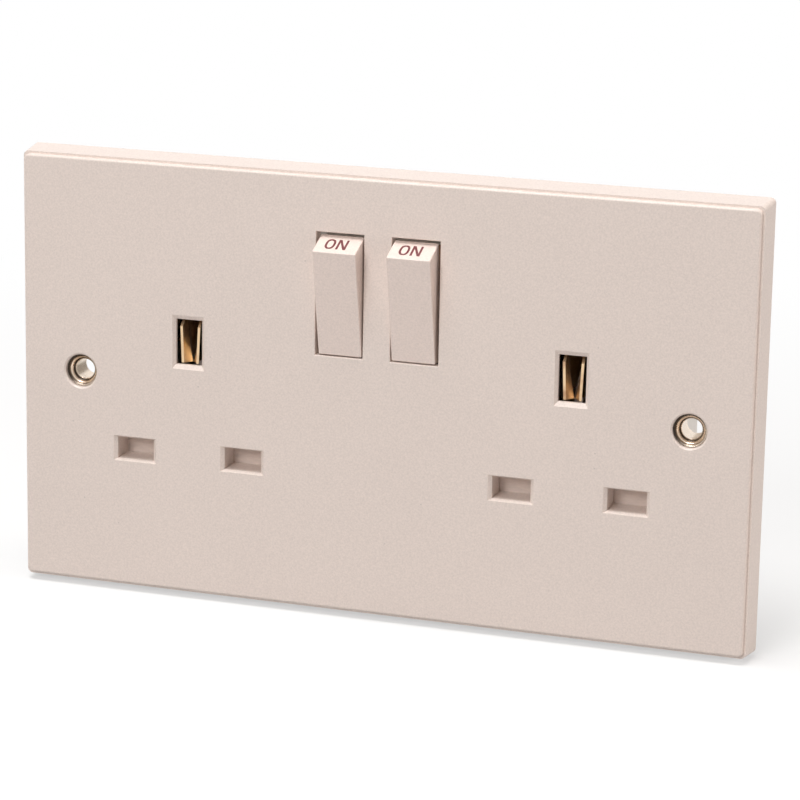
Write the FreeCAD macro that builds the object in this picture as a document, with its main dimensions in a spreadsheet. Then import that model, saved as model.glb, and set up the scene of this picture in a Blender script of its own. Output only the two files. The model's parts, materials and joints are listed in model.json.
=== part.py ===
import FreeCAD, Part
import math
import os
from types import SimpleNamespace

import Sketcher

# Twin switched socket outlet for 13 A plugs with rectangular pins.
# X runs to the right as the front is seen, Z up, and Y into the wall. The origin is the centre of the
# plate's back edge, so y = 0 is the wall and the front face stands at y = -plate_depth.

vector = FreeCAD.Vector
document = FreeCAD.newDocument("TwinSocket")

SIZES = {
    # front plate
    "plate_width": 146.0,
    "plate_height": 86.0,
    "plate_depth": 7.0,  # from the wall to the front face
    "plate_corner": 1.0,
    "skirt_draft": 0.65,  # how far the skirt leans in from the wall to the ledge
    "ledge_width": 0.45,
    "lip_height": 0.9,  # the front face above the ledge
    "lip_round": 0.5,
    "face_wall": 2.4,
    "rim_wall": 2.0,
    # pin layout
    "outlet_inset": 35.1,  # plate's side edge to an outlet's centre
    "earth_height": 7.6,  # centre of the earth slots above the plate's centre
    "pin_drop": 22.2,  # from the earth pin's centre down to the line and neutral pins
    "pin_offset": 11.1,  # line and neutral pins either side of the outlet's centre
    "earth_slot_width": 5.3,
    "earth_slot_height": 8.9,
    "earth_mouth_side": 0.6,  # bevel at the left and right of an earth slot's mouth
    "earth_mouth_top": 0.85,  # bevel at its top and bottom
    "earth_mouth_depth": 0.6,
    "earth_slot_wall": 1.2,  # face thickness at an earth slot
    "aperture_width": 7.5,
    "aperture_height": 4.3,
    "aperture_mouth_side": 0.7,  # lead-in at the left and right of a pin aperture
    "aperture_mouth_top": 0.35,  # lead-in at its top and bottom
    "aperture_mouth_depth": 0.6,
    "aperture_draft": 0.12,  # how far an aperture's floor rises towards the back
    "aperture_depth": 5.5,  # front face to the collar's back edge
    "collar_wall": 1.3,
    # fixing holes
    "fixing_inset": 12.7,  # plate's side edge to a fixing hole's centre
    "fixing_hole": 6.5,
    "fixing_hole_edge": 0.3,
    "fixing_boss": 8.2,
    "eyelet_setback": 1.0,  # eyelet rim behind the front face
    "eyelet_cone_depth": 1.3,
    "eyelet_cone_mouth": 5.7,
    "eyelet_bore": 3.9,
    "eyelet_tube": 5.0,
    "eyelet_rim": 1.0,
    "eyelet_rim_play": 0.05,  # rim's edge inside the hole
    "eyelet_curl": 6.2,  # diameter of the curled rear end
    "eyelet_curl_height": 0.5,
    "eyelet_fit": 0.05,  # radial, tube in the plate and the strap
    # rockers
    "rocker_spacing": 14.5,
    "opening_spacing": 14.9,
    "rocker_height": 19.5,  # centre of the rockers above the plate's centre
    "opening_width": 9.45,
    "opening_height": 23.7,
    "opening_round": 0.2,
    "rocker_side_gap": 0.45,  # mean gap at each side of a rocker
    "rocker_front": 21.0,  # flat front of a rocker, top to bottom
    "rocker_swing": 12.0,  # tilt either side of the middle, in degrees
    "rocker_pivot_back": 4.4,  # pivot behind the front face
    "rocker_reach": 6.5,  # pivot to the rocker's front
    "rocker_end_depth": 5.5,  # depth of the rocker's tapered ends
    "rocker_wall": 1.4,
    "rocker_edge": 0.25,
    "trunnion": 2.4,
    "trunnion_length": 1.5,
    "trunnion_gap": 0.06,
    "trunnion_lug": 3.0,  # half height of the lug that carries a trunnion
    "stem": 5.2,
    "stem_bore": 3.4,
    "stem_back": 5.2,  # pivot to the stem's open end
    "stem_floor": 2.1,  # front wall at the foot of the stem's bore
    "cheek_wall": 2.0,
    "cheek_height": 14.0,
    "cheek_back": 3.2,  # cheek behind the pivot
    # rocker plunger and spring
    "plunger_gap": 0.08,
    "plunger_front": 0.6,  # pivot to the plunger's head
    "plunger_back": 5.8,
    "plunger_nose": 2.4,
    "plunger_reach": 11.5,  # pivot to the tip of the nose
    "spring_wire": 0.4,
    "spring_play": 0.1,
    "rocker_spring_turns": 5.0,
    # see-saw contact
    "blade_tilt": 11.0,
    "blade_thickness": 0.8,
    "blade_width": 5.0,
    "blade_set": 1.2,  # arms in front of the fulcrum
    "blade_up": 8.9,
    "blade_down": 5.2,
    "trough_slope": 30.0,
    "trough_centre": 4.7,
    "contact_arm": 7.4,  # fulcrum to the contact tips
    "tip_diameter": 2.6,
    "tip_moving": 0.6,
    "tip_fixed": 0.52,
    "contact_gap": 0.08,
    # rear housing
    "housing_inset": 17.0,  # plate's side edge to the housing's side
    "housing_height": 62.0,
    "housing_back": 19.5,
    "housing_wall": 1.8,
    "housing_corner": 3.0,
    "floor_depth": 12.6,  # wall plane to the floor that the strips lie on
    "channel_depth": 17.4,  # wall plane to the floor of the earth channel
    "strip": 0.8,
    "seat_gap": 0.25,
    "post_side": 5.5,  # housing's side to the centre of a screw post
    "post_end": 4.5,  # housing's top or bottom to the centre of a screw post
    "post": 5.0,
    "post_split": 3.0,  # wall plane to where the plate's pillar meets the housing's
    "screw_thread": 2.5,
    "screw_play": 0.1,
    "screw_reach": 6.0,  # shank inside the plate's pillar
    "screw_head": 5.0,
    "screw_head_height": 1.8,
    "screw_head_sink": 2.2,
    "screw_slot": 0.8,
    "chamber_middle": 4.8,  # wall between the two switches
    "chamber_bottom": 7.0,  # chamber walls below the rockers' centre
    "chamber_top": 5.3,
    "rocker_notch": 5.0,  # depth of the notch in the housing's edge behind the rockers
    "prong_play": 0.06,
    "rib": 0.8,  # ribs behind the shutters
    "rib_reach": 4.0,
    # spring clips
    "clip_width": 5.8,
    "clip_gap": 3.7,  # between the leaves where they grip a 4 mm pin
    "clip_mouth": 5.6,
    "clip_front": 2.6,  # wall plane to the front of a line or neutral clip
    "clip_waist": 4.8,
    "clip_heel": 4.4,  # between the leaves at the clip's base
    "clip_leaf": 0.7,
    "clip_round": 0.3,
    "earth_leaf": 0.5,
    "earth_clip_front": 1.1,  # front face to the earth leaves
    "earth_clip_gap": 3.1,
    "earth_clip_foot": 4.3,
    "earth_clip_waist_low": 0.4,
    "earth_clip_waist_high": 2.8,
    "earth_clip_height": 8.4,
    "earth_clip_waist_back": 2.4,
    "earth_clip_belly": 4.0,  # depth over which the leaves open again behind the waist
    "earth_leaf_slope": 1.3,  # the leaves' top corner is cut off at 45 degrees by this much
    # shutters
    "shutter_top": 3.0,  # edges of the bar above and below the pins' centre line
    "shutter_bottom": 3.6,
    "shutter_thickness": 2.0,
    "shutter_stem": 1.6,
    "shutter_gap": 0.2,
    "shutter_rail": 0.8,
    "shutter_rail_height": 13.0,
    "ramp_rise": 5.2,
    "ramp_toe": 3.5,  # top of the ramp's front edge above the plate's centre
    "ramp_thickness": 4.0,  # measured along Z
    "shutter_spring": 3.6,
    "shutter_spring_turns": 8.0,
    # terminals
    "terminal": 8.0,
    "terminal_length": 6.4,
    "terminal_bore": 4.0,
    "terminal_bore_depth": 3.0,
    "terminal_screw": 3.4,
    "terminal_screw_fit": 0.05,  # radial
    "terminal_head": 5.0,
    "terminal_head_height": 1.2,
    "terminal_travel": 2.6,  # from backed out to clamped
    "terminal_play": 0.15,
    "terminal_round": 0.4,
    "terminal_share": 0.4643,  # place of the inner terminals, as a share of the housing's half width
    "terminal_side": 13.5,  # housing's side to the centre of the outer earth terminal
    "wire_hole": 4.4,
    # strips
    "live_bar": 3.8,
    "live_bar_left": 11.0,  # end of the bar left of the plate's centre
    "link_width": 4.0,
    "ridge_foot": 2.4,
    "ridge_top": 0.3,
    "link_z": -3.0,
    "neutral_bar": 3.4,
    "neutral_bar_z": -20.7,
    "earth_bar": 5.0,
    "earth_leg_side": 11.4,  # housing's side to a leg of the strap
    "earth_leg_z": 7.1,
    "earth_leg": 4.0,
    "earth_flange": 8.2,
    "earth_bend": 0.6,
    "earth_flange_back": 0.6,  # rear face of the strap's flange in front of the wall
}


class Size:
    # A length or an angle, kept with the formula that gives it from the cells of the sheet.
    def __init__(self, text, value):
        self.text = text
        self.value = value

    def __float__(self):
        return self.value

    def __add__(self, other):
        return Size(f"({self.text} + {size(other).text})", self.value + float(other))

    def __radd__(self, other):
        return size(other) + self

    def __sub__(self, other):
        return Size(f"({self.text} - {size(other).text})", self.value - float(other))

    def __rsub__(self, other):
        return size(other) - self

    def __mul__(self, other):
        return Size(f"({self.text} * {size(other).text})", self.value * float(other))

    def __rmul__(self, other):
        return size(other) * self

    def __truediv__(self, other):
        return Size(f"({self.text} / {size(other).text})", self.value / float(other))

    def __neg__(self):
        return self * -1


def size(number):
    if isinstance(number, Size):
        return number
    return Size(f"({number})", float(number))


def tangent(angle):
    return Size(f"tan({angle.text})", math.tan(math.radians(angle.value)))


def sine(angle):
    return Size(f"sin({angle.text})", math.sin(math.radians(angle.value)))


def cosine(angle):
    return Size(f"cos({angle.text})", math.cos(math.radians(angle.value)))


sheet = document.addObject("Spreadsheet::Sheet", "Sizes")
for row, (alias, number) in enumerate(SIZES.items(), start=1):
    sheet.set(f"A{row}", alias)
    sheet.set(f"B{row}", str(number))
    sheet.setAlias(f"B{row}", alias)
document.recompute()
s = SimpleNamespace(**{alias: Size(f"Sizes.{alias}", float(sheet.get(alias))) for alias in SIZES})

# Planes and places that several pieces share
front_y = -s.plate_depth
face_back_y = front_y + s.face_wall
pin_z = s.earth_height - s.pin_drop
pivot_y = front_y + s.rocker_pivot_back
strip_y = s.floor_depth - s.strip
earth_bar_y = s.channel_depth - s.strip
housing_inside_top = s.housing_height / 2 - s.housing_wall
cheek_end_y = pivot_y + s.cheek_back
earth_flange_y = -s.earth_flange_back - s.strip
shutter_y = front_y + s.aperture_depth + s.shutter_gap
chamber_y = cheek_end_y + s.seat_gap
terminal_z = s.housing_height / 2 - s.terminal / 2
earth_terminal_z = housing_inside_top - s.terminal / 2 - s.terminal_play
eyelet_y = front_y + s.eyelet_setback
fixing_x = s.plate_width / 2 - s.fixing_inset
housing_side = s.plate_width / 2 - s.housing_inset
housing_inside_side = housing_side - s.housing_wall
post_x = housing_side - s.post_side
post_z = s.housing_height / 2 - s.post_end
inner_terminal_x = housing_side * s.terminal_share
earth_terminals_x = (-inner_terminal_x, housing_side - s.terminal_side)
earth_leg_x = housing_side - s.earth_leg_side
SIDES = {"left": -1, "right": 1}


def outlet_x(side):
    return (s.plate_width / 2 - s.outlet_inset) * side


def rocker_x(side):
    return s.rocker_spacing * side / 2


def opening_x(side):
    return s.opening_spacing * side / 2


def live_x(side):
    return outlet_x(side) + s.pin_offset


def neutral_x(side):
    return outlet_x(side) - s.pin_offset


shutter_width = (housing_inside_side - outlet_x(1) - s.shutter_rail - s.shutter_gap * 2) * 2

# The blade's trough is an arc about a centre in front of the fulcrum. Its radius keeps the plunger's
# nose just clear of the blade both in the middle of the swing and at its ends.
nose_arm = s.plunger_reach - s.plunger_nose / 2
nose_lag = nose_arm * (1 - cosine(s.rocker_swing)) + s.trough_centre * (1 - cosine(s.blade_tilt))
nose_drift = nose_arm * sine(s.rocker_swing) - s.trough_centre * sine(s.blade_tilt)
nose_depth = (nose_lag * nose_lag + nose_drift * nose_drift) / (nose_lag * 2)
trough_radius = s.plunger_nose / 2 + nose_depth + s.contact_gap
fulcrum_y = pivot_y + nose_arm + s.trough_centre - nose_depth

pieces = []
COIL_STEPS = 10  # straight lengths in one turn of a spring


def bind(item, path, number):
    item.setExpression(path, size(number).text)


def new_body(label):
    body = document.addObject("PartDesign::Body", label)
    body.Label = label
    pieces.append(body)
    return body


def new_sketch(body, role, offset):
    # The three planes look along X (YZ_Plane), along Z (XY_Plane) and out of the wall (XZ_Plane).
    sketch = body.newObject("Sketcher::SketchObject", body.Name + "_sketch")
    plane = next(item for item in body.Origin.OriginFeatures if item.Role == role)
    sketch.AttachmentSupport = (plane, [""])
    sketch.MapMode = "FlatFace"
    bind(sketch, "AttachmentOffset.Base.z", offset)
    return sketch


def front_sketch(body, depth):
    return new_sketch(body, "XZ_Plane", -size(depth))


def side_sketch(body, across):
    return new_sketch(body, "YZ_Plane", across)


def level_sketch(body, height):
    return new_sketch(body, "XY_Plane", height)


def place_point(sketch, geometry, position, point):
    for axis, number in zip(("DistanceX", "DistanceY"), point):
        rule = Sketcher.Constraint(axis, -1, 1, geometry, position, float(number))
        name = f"{axis}_{geometry}_{position}"
        sketch.renameConstraint(sketch.addConstraint(rule), name)
        bind(sketch, f"Constraints.{name}", number)


def polygon(sketch, points):
    first = sketch.GeometryCount
    count = len(points)
    ends = [vector(float(across), float(up), 0) for across, up in points]
    for index in range(count):
        sketch.addGeometry(Part.LineSegment(ends[index], ends[(index + 1) % count]), False)
    for index in range(count):
        following = first + (index + 1) % count
        sketch.addConstraint(Sketcher.Constraint("Coincident", first + index, 2, following, 1))
    for index, point in enumerate(points):
        place_point(sketch, first + index, 1, point)
    return sketch


def rectangle(sketch, centre, width, height):
    left, right = centre[0] - width / 2, centre[0] + width / 2
    low, high = centre[1] - height / 2, centre[1] + height / 2
    return polygon(sketch, [(left, low), (right, low), (right, high), (left, high)])


def circle(sketch, centre, diameter):
    middle = vector(float(centre[0]), float(centre[1]), 0)
    index = sketch.addGeometry(Part.Circle(middle, vector(0, 0, 1), float(diameter) / 2), False)
    rule = Sketcher.Constraint("Diameter", index, float(diameter))
    name = f"Diameter_{index}"
    sketch.renameConstraint(sketch.addConstraint(rule), name)
    bind(sketch, f"Constraints.{name}", diameter)
    place_point(sketch, index, 3, centre)
    return sketch


def add_feature(body, kind, sketch, length, flip):
    feature = body.newObject("PartDesign::" + kind, f"{body.Name}_{kind}".lower())
    feature.Profile = sketch
    feature.Reversed = flip
    bind(feature, "Length", length)
    sketch.Visibility = False
    return feature


def pad(body, sketch, length, flip=False):
    # From a front sketch it grows out of the wall, and into the wall when flipped.
    return add_feature(body, "Pad", sketch, length, flip)


def pocket(body, sketch, length, flip=False):
    # From a front sketch it cuts into the wall, and out of the wall when flipped.
    return add_feature(body, "Pocket", sketch, length, flip)


def loft(body, kind, first, last):
    feature = body.newObject("PartDesign::" + kind, f"{body.Name}_{kind}".lower())
    feature.Profile = first
    feature.Sections = [last]
    feature.Ruled = True
    return feature


def dress_edges(body, kind, amount, wanted):
    document.recompute()
    base = body.Tip
    edges = enumerate(base.Shape.Edges, start=1)
    names = [f"Edge{number}" for number, edge in edges if wanted(edge)]
    feature = body.newObject("PartDesign::" + kind, f"{body.Name}_{kind}".lower())
    feature.Base = (base, names)
    bind(feature, "Radius" if kind == "Fillet" else "Size", amount)
    body.Tip = feature
    return feature


def runs_along(edge, axis):
    if edge.Length == 0 or len(edge.Vertexes) < 2:
        return False
    way = edge.Vertexes[1].Point - edge.Vertexes[0].Point
    return abs(getattr(way.normalize(), axis)) > 0.95


def lies_at(edge, axis, number):
    box = edge.BoundBox
    low, high = getattr(box, axis + "Min"), getattr(box, axis + "Max")
    return abs(low - float(number)) < 0.01 and abs(high - float(number)) < 0.01


def lead_in(body, centre, width, height, side, top, depth):
    # The bevelled mouth of an opening in the front face.
    mouth = rectangle(front_sketch(body, front_y), centre, width + side * 2, height + top * 2)
    throat = rectangle(front_sketch(body, front_y + depth), centre, width, height)
    return loft(body, "SubtractiveLoft", mouth, throat)


def new_piece(label, shape):
    piece = document.addObject("Part::Feature", label)
    piece.Label = label
    piece.Shape = shape
    pieces.append(piece)
    return piece


def strip_outline(points, thickness):
    # Both faces of a strip whose middle follows the points, with mitred corners.
    ways = [(points[index + 1] - points[index]).normalize() for index in range(len(points) - 1)]
    normals = [vector(0, -way.z, way.y) for way in ways]
    offsets = [normals[0] * (thickness / 2)]
    for before, after in zip(normals, normals[1:]):
        middle = before + after
        offsets.append(middle * (thickness / middle.dot(middle)))
    offsets.append(normals[-1] * (thickness / 2))
    near = [point + offset for point, offset in zip(points, offsets)]
    far = [point - offset for point, offset in zip(points, offsets)]
    return near + far[::-1]


def bent_strip(route, thickness, width, bends):
    # A strip bent in the plane of Y and Z, as wide as width, centred on x = 0. bends gives the radius
    # at the middle of the strip for each inner point of the route.
    points = [vector(0, float(along), float(up)) for along, up in route]
    corners = strip_outline(points, float(thickness))
    face = Part.Face(Part.makePolygon(corners + corners[:1]))
    solid = face.extrude(vector(float(width), 0, 0))
    solid.translate(vector(-float(width) / 2, 0, 0))
    last = len(corners) - 1
    for index, bend in enumerate(bends, start=1):
        before = (points[index] - points[index - 1]).normalize()
        after = (points[index + 1] - points[index]).normalize()
        turn = before.cross(after).x
        for number, side in ((index, 1), (last - index, -1)):
            radius = float(bend) - math.copysign(float(thickness) / 2, turn) * side
            if radius > 0:
                solid = round_corner(solid, corners[number], radius)
    return solid


def round_corner(solid, corner, radius):
    def at_corner(edge):
        if not runs_along(edge, "x"):
            return False
        point = edge.Vertexes[0].Point
        return math.hypot(point.y - corner.y, point.z - corner.z) < 0.01
    edges = [edge for edge in solid.Edges if at_corner(edge)]
    return solid.makeFillet(radius, edges)


def coil(start, way, length, outer, wire, turns):
    # A compression spring between start and start + way * length. Short straight lengths of square
    # wire follow the helix x = r cos a, y = r sin a, z = a * pitch / 360 degrees.
    thickness = float(wire)
    middle = (float(outer) - thickness) / 2
    rise = float(length) - thickness
    steps = int(float(turns) * COIL_STEPS)
    points = []
    for step in range(steps + 1):
        angle = 2 * math.pi * step / COIL_STEPS
        height = thickness / 2 + rise * step / steps
        points.append(vector(middle * math.cos(angle), middle * math.sin(angle), height))
    near, far = middle - thickness / 2, middle + thickness / 2
    corners = [vector(near, 0, 0), vector(far, 0, 0), vector(far, 0, thickness), vector(near, 0, thickness)]
    section = Part.makePolygon(corners + corners[:1])
    spring = Part.makePolygon(points).makePipeShell([section], True, False, 1)
    turned = FreeCAD.Placement(start, FreeCAD.Rotation(vector(0, 0, 1), way))
    return spring.transformShape(turned.toMatrix(), True)


def stand(piece, point, angle):
    # Puts a piece that is drawn about its own pivot in place, turned about X.
    piece.Placement = FreeCAD.Placement(vector(0, 0, 0), FreeCAD.Rotation(vector(1, 0, 0), float(angle)))
    for axis, number in zip("xyz", point):
        bind(piece, f"Placement.Base.{axis}", number)
    bind(piece, "Placement.Rotation.Angle", angle)


def faceplate():
    body = new_body("faceplate")
    wall_edge = rectangle(front_sketch(body, 0), (size(0), size(0)), s.plate_width, s.plate_height)
    lip_y = front_y + s.lip_height
    inset = s.skirt_draft * 2
    shoulder = front_sketch(body, lip_y)
    rectangle(shoulder, (size(0), size(0)), s.plate_width - inset, s.plate_height - inset)
    loft(body, "AdditiveLoft", wall_edge, shoulder)
    inset = inset + s.ledge_width * 2
    lip = front_sketch(body, lip_y)
    rectangle(lip, (size(0), size(0)), s.plate_width - inset, s.plate_height - inset)
    pad(body, lip, s.lip_height)
    dress_edges(body, "Fillet", s.plate_corner, lambda edge: runs_along(edge, "y"))
    dress_edges(body, "Fillet", s.lip_round, lambda edge: lies_at(edge, "Y", front_y))

    hollow = front_sketch(body, 0)
    rim = s.rim_wall * 2
    rectangle(hollow, (size(0), size(0)), s.plate_width - rim, s.plate_height - rim)
    pocket(body, hollow, -face_back_y, True)

    bosses = front_sketch(body, face_back_y)
    pillars = front_sketch(body, face_back_y)
    collars = front_sketch(body, face_back_y)
    rails = front_sketch(body, face_back_y)
    cheeks = front_sketch(body, face_back_y)
    middle_rib = s.opening_spacing - s.opening_width
    rectangle(cheeks, (size(0), s.rocker_height), middle_rib, s.cheek_height)
    for side in SIDES.values():
        circle(bosses, (fixing_x * side, size(0)), s.fixing_boss)
        for level in SIDES.values():
            circle(pillars, (post_x * side, post_z * level), s.post)
            rail_x = outlet_x(side) + (shutter_width / 2 + s.shutter_gap + s.shutter_rail / 2) * level
            rail_z = pin_z + s.shutter_top - s.shutter_rail_height / 2
            rectangle(rails, (rail_x, rail_z), s.shutter_rail, s.shutter_rail_height)
        for pin_x in (live_x(side), neutral_x(side)):
            width = s.aperture_width + s.collar_wall * 2
            rectangle(collars, (pin_x, pin_z), width, s.aperture_height + s.collar_wall * 2)
        cheek_x = opening_x(side) + (s.opening_width / 2 + s.cheek_wall / 2) * side
        rectangle(cheeks, (cheek_x, s.rocker_height), s.cheek_wall, s.cheek_height)
    pad(body, bosses, earth_flange_y - face_back_y, True)
    pad(body, pillars, s.post_split - face_back_y, True)
    pad(body, collars, s.aperture_depth - s.face_wall, True)
    pad(body, rails, -face_back_y, True)
    pad(body, cheeks, cheek_end_y - face_back_y, True)

    # openings in the face
    slots = front_sketch(body, front_y)
    reliefs = front_sketch(body, front_y + s.earth_slot_wall)
    openings = front_sketch(body, front_y)
    holes = front_sketch(body, front_y)
    tubes = front_sketch(body, front_y)
    for side in SIDES.values():
        slot = (outlet_x(side), s.earth_height)
        rectangle(slots, slot, s.earth_slot_width, s.earth_slot_height)
        spare = s.earth_slot_wall * 2
        rectangle(reliefs, slot, s.earth_slot_width + spare, s.earth_slot_height + spare)
        rectangle(openings, (opening_x(side), s.rocker_height), s.opening_width, s.opening_height)
        circle(holes, (fixing_x * side, size(0)), s.fixing_hole)
        circle(tubes, (fixing_x * side, size(0)), s.eyelet_tube + s.eyelet_fit * 2)
    pocket(body, reliefs, s.face_wall - s.earth_slot_wall)
    pocket(body, slots, s.plate_depth)
    pocket(body, openings, s.face_wall)
    pocket(body, holes, s.eyelet_setback + s.eyelet_rim)
    pocket(body, tubes, s.plate_depth)
    for side in SIDES.values():
        slot = (outlet_x(side), s.earth_height)
        lead_in(body, slot, s.earth_slot_width, s.earth_slot_height,
                s.earth_mouth_side, s.earth_mouth_top, s.earth_mouth_depth)
        for pin_x in (live_x(side), neutral_x(side)):
            front = front_sketch(body, front_y)
            rectangle(front, (pin_x, pin_z), s.aperture_width, s.aperture_height)
            rear = front_sketch(body, front_y + s.aperture_depth)
            rear_height = s.aperture_height - s.aperture_draft
            rectangle(rear, (pin_x, pin_z + s.aperture_draft / 2), s.aperture_width, rear_height)
            loft(body, "SubtractiveLoft", front, rear)
            lead_in(body, (pin_x, pin_z), s.aperture_width, s.aperture_height,
                    s.aperture_mouth_side, s.aperture_mouth_top, s.aperture_mouth_depth)
    limit = float(s.opening_spacing)

    def rims_opening(edge):
        return lies_at(edge, "Y", front_y) and abs(edge.BoundBox.Center.x) < limit and edge.BoundBox.ZMin > 0
    dress_edges(body, "Fillet", s.opening_round, rims_opening)
    dress_edges(body, "Chamfer", s.fixing_hole_edge, rims_fixing_hole)

    # slots for the trunnions, and pilot holes for the housing's screws
    span = s.opening_spacing + s.opening_width + s.cheek_wall * 2
    slot_ends = side_sketch(body, -span / 2)
    circle(slot_ends, (pivot_y, s.rocker_height), s.trunnion + s.trunnion_gap * 2)
    pocket(body, slot_ends, span, True)
    slot_ways = side_sketch(body, -span / 2)
    way = (pivot_y + s.cheek_back / 2, s.rocker_height)
    rectangle(slot_ways, way, s.cheek_back, s.trunnion + s.trunnion_gap * 2)
    pocket(body, slot_ways, span, True)
    pilots = front_sketch(body, s.post_split)
    for side in SIDES.values():
        for level in SIDES.values():
            place = (post_x * side, post_z * level)
            circle(pilots, place, s.screw_thread + s.eyelet_fit * 2)
    pocket(body, pilots, s.screw_reach + s.screw_play, True)


def rims_fixing_hole(edge):
    return lies_at(edge, "Y", front_y) and abs(edge.BoundBox.Center.x) > float(fixing_x) - 1 \
        and edge.BoundBox.XLength < float(s.fixing_hole) + 1


def screw_eyelet(name, side):
    body = new_body(f"screw_eyelet_{name}")
    centre = (fixing_x * side, size(0))
    rim = s.fixing_hole - s.eyelet_rim_play * 2
    pad(body, circle(front_sketch(body, eyelet_y), centre, rim), s.eyelet_rim, True)
    tube_length = -s.earth_flange_back + s.eyelet_curl_height - eyelet_y
    pad(body, circle(front_sketch(body, eyelet_y), centre, s.eyelet_tube), tube_length, True)
    curl = circle(front_sketch(body, -s.earth_flange_back), centre, s.eyelet_curl)
    pad(body, curl, s.eyelet_curl_height, True)
    pocket(body, circle(front_sketch(body, eyelet_y), centre, s.eyelet_bore), s.plate_depth)
    mouth = circle(front_sketch(body, eyelet_y), centre, s.eyelet_cone_mouth)
    throat = circle(front_sketch(body, eyelet_y + s.eyelet_cone_depth), centre, s.eyelet_bore)
    loft(body, "SubtractiveLoft", mouth, throat)


def rear_housing():
    body = new_body("rear_housing")
    centre = (size(0), size(0))
    outside = rectangle(front_sketch(body, face_back_y), centre, housing_side * 2, s.housing_height)
    pad(body, outside, s.housing_back - face_back_y, True)
    dress_edges(body, "Fillet", s.housing_corner, lambda edge: runs_along(edge, "y"))
    inside = front_sketch(body, face_back_y)
    walls = s.housing_wall * 2
    rectangle(inside, centre, housing_side * 2 - walls, s.housing_height - walls)
    pocket(body, inside, s.floor_depth - face_back_y)

    posts = front_sketch(body, s.post_split)
    rib_y = shutter_y + s.shutter_thickness + s.shutter_gap
    ribs = front_sketch(body, rib_y)
    chambers = front_sketch(body, chamber_y)
    prongs = front_sketch(body, chamber_y)
    chamber_z = s.rocker_height + (s.chamber_top - s.chamber_bottom) / 2
    chamber_height = s.chamber_top + s.chamber_bottom
    prong_height = s.trunnion
    rectangle(chambers, (size(0), chamber_z), s.chamber_middle, chamber_height)
    rectangle(prongs, (size(0), s.rocker_height), s.chamber_middle, prong_height)
    for side in SIDES.values():
        cheek_x = opening_x(side) + (s.opening_width / 2 + s.cheek_wall / 2) * side
        rectangle(chambers, (cheek_x, chamber_z), s.cheek_wall, chamber_height)
        rectangle(prongs, (cheek_x, s.rocker_height), s.cheek_wall, prong_height)
        for level in SIDES.values():
            circle(posts, (post_x * side, post_z * level), s.post)
            rib_x = outlet_x(side) + (shutter_width / 2 - s.shutter_gap / 2 - s.rib / 2) * level
            rib_low = s.neutral_bar_z + s.neutral_bar / 2 + s.seat_gap
            rib_high = pin_z + s.rib_reach
            rectangle(ribs, (rib_x, (rib_low + rib_high) / 2), s.rib, rib_high - rib_low)
    pad(body, posts, s.floor_depth - s.post_split, True)
    pad(body, ribs, s.floor_depth - rib_y, True)
    pad(body, chambers, s.floor_depth - chamber_y, True)
    pad(body, prongs, chamber_y - pivot_y - s.trunnion / 2 - s.prong_play)

    # wells and the channel for the earth parts
    gap = s.seat_gap * 2
    cuts = []
    channel_x = earth_leg_x + s.strip / 2
    cuts.append(((size(0), s.earth_height), channel_x * 2 + gap, s.earth_bar + gap))
    for side in SIDES.values():
        clip_width = s.earth_clip_foot + s.earth_leaf * 2 + gap * 2
        cuts.append(((outlet_x(side), s.earth_height), clip_width, s.earth_clip_height + gap))
    for terminal_x in earth_terminals_x:
        well_middle = (s.earth_height + housing_inside_top) / 2
        well_height = housing_inside_top - s.earth_height
        well_width = s.terminal + s.terminal_play * 2
        cuts.append(((terminal_x, well_middle), well_width, well_height))
    for place, width, height in cuts:
        well = rectangle(front_sketch(body, s.floor_depth), place, width, height)
        pocket(body, well, s.channel_depth - s.floor_depth)

    # places for the line and neutral terminals, open to the back
    recesses = front_sketch(body, s.housing_back)
    recess = s.terminal + s.terminal_play * 2
    for terminal_x, level in ((inner_terminal_x, 1), (size(0), -1)):
        rectangle(recesses, (terminal_x, (terminal_z + s.terminal_play / 2) * level), recess, recess)
    pocket(body, recesses, s.housing_back - s.floor_depth, True)

    driver_holes = front_sketch(body, s.housing_back)
    wire_holes = level_sketch(body, s.housing_height / 2)
    wire_y = earth_bar_y - s.terminal_length + s.terminal_bore_depth
    for terminal_x in earth_terminals_x:
        circle(driver_holes, (terminal_x, earth_terminal_z), s.terminal_head + s.screw_play * 4)
        circle(wire_holes, (terminal_x, wire_y), s.wire_hole)
    pocket(body, driver_holes, s.housing_back - s.channel_depth, True)
    pocket(body, wire_holes, s.housing_wall)

    heads = front_sketch(body, s.housing_back)
    shanks = front_sketch(body, s.housing_back)
    for side in SIDES.values():
        for level in SIDES.values():
            place = (post_x * side, post_z * level)
            circle(heads, place, s.screw_head + s.screw_play * 2)
            circle(shanks, place, s.screw_thread + s.screw_play * 2)
    pocket(body, heads, s.screw_head_sink, True)
    pocket(body, shanks, s.housing_back - s.post_split, True)

    # room in the top edge for the swing of the rockers
    notch = level_sketch(body, s.housing_height / 2)
    notch_width = s.opening_spacing + s.opening_width + s.seat_gap * 2
    rectangle(notch, (size(0), face_back_y + s.rocker_notch / 2), notch_width, s.rocker_notch)
    pocket(body, notch, s.housing_wall)

    # notches in the side walls for the earth strap's flanges
    notches = side_sketch(body, -housing_side)
    notch_depth = -s.earth_flange_back + s.seat_gap - face_back_y
    notch = (face_back_y + notch_depth / 2, s.earth_leg_z)
    rectangle(notches, notch, notch_depth, s.earth_leg + gap)
    pocket(body, notches, s.housing_wall, True)
    notches = side_sketch(body, housing_side)
    rectangle(notches, notch, notch_depth, s.earth_leg + gap)
    pocket(body, notches, s.housing_wall)


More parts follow.
